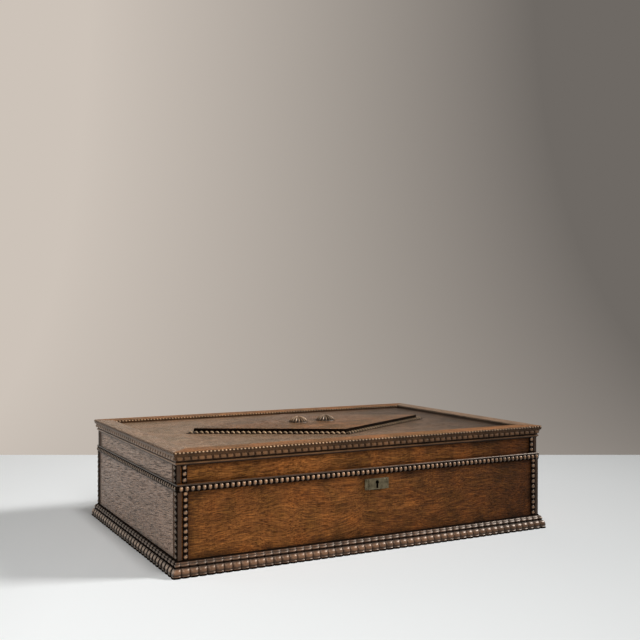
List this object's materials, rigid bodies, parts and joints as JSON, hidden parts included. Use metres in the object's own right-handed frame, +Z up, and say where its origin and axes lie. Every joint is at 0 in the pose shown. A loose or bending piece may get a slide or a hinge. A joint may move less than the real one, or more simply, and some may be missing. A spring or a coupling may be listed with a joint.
{
  "type": "stationery box",
  "caption": "Flat oak table box for paper with a hinged moulded lid, a raised lozenge on top, beaded corner strips, a gadrooned plinth and a small box lock.",
  "frame": {"origin": "centre of the base on the table, under the middle of the case", "axes": "+X to the right along the front, +Y from the front to the hinged back, +Z up"},
  "size_m": [0.5, 0.314, 0.1384],
  "materials": {
    "board_oak": "waxed",
    "moulding_oak": "waxed and darkened",
    "brass": "aged",
    "steel": "dull"
  },
  "bodies": {
    "case": {"front_board": "board_oak", "back_board": "board_oak", "left_board": "board_oak", "right_board": "board_oak", "bottom_board": "board_oak", "plinth_front": "moulding_oak", "plinth_right": "moulding_oak", "plinth_back": "moulding_oak", "plinth_left": "moulding_oak", "base_bead_front": "moulding_oak", "base_bead_right": "moulding_oak", "base_bead_back": "moulding_oak", "base_bead_left": "moulding_oak", "rim_bead_front": "moulding_oak", "rim_bead_right": "moulding_oak", "rim_bead_back": "moulding_oak", "rim_bead_left": "moulding_oak", "case_front_beads": "moulding_oak", "case_side_beads": "moulding_oak", "case_front_fillets": "moulding_oak", "lock_case": "steel", "lock_plate": "brass", "lock_key_pin": "steel", "lock_spring": "steel", "escutcheon_plate": "brass", "escutcheon_pins": "brass", "hinge_case_leaf_left": "brass", "hinge_case_leaf_right": "brass", "hinge_pins": "steel", "case_screws": "steel"},
    "bolt": {"lock_bolt": "brass"},
    "lid": {"lid_front_board": "board_oak", "lid_back_board": "board_oak", "lid_left_board": "board_oak", "lid_right_board": "board_oak", "lid_frame_front": "board_oak", "lid_frame_right": "board_oak", "lid_frame_back": "board_oak", "lid_frame_left": "board_oak", "cornice_front": "moulding_oak", "cornice_right": "moulding_oak", "cornice_back": "moulding_oak", "cornice_left": "moulding_oak", "lid_panel": "board_oak", "lozenge_board": "board_oak", "lozenge_bead_front_left": "moulding_oak", "lozenge_bead_front_right": "moulding_oak", "lozenge_bead_back_right": "moulding_oak", "lozenge_bead_back_left": "moulding_oak", "boss_left": "moulding_oak", "boss_right": "moulding_oak", "lid_front_beads": "moulding_oak", "lid_side_beads": "moulding_oak", "lid_back_strips": "moulding_oak", "lid_front_fillets": "moulding_oak", "hinge_lid_leaf_left": "brass", "hinge_lid_leaf_right": "brass", "link_plate": "brass", "lid_screws": "steel"}
  },
  "joints": [
    {"name": "lid_hinge", "type": "hinge", "parent": "case", "child": "lid", "pos_m": [0, 0.1517, 0.0945], "axis": [-1, 0, 0], "range_deg": [0, 100]},
    {"name": "bolt_slide", "type": "slide", "parent": "case", "child": "bolt", "axis": [1, 0, 0], "range_m": [0, 0.008]}
  ]
}
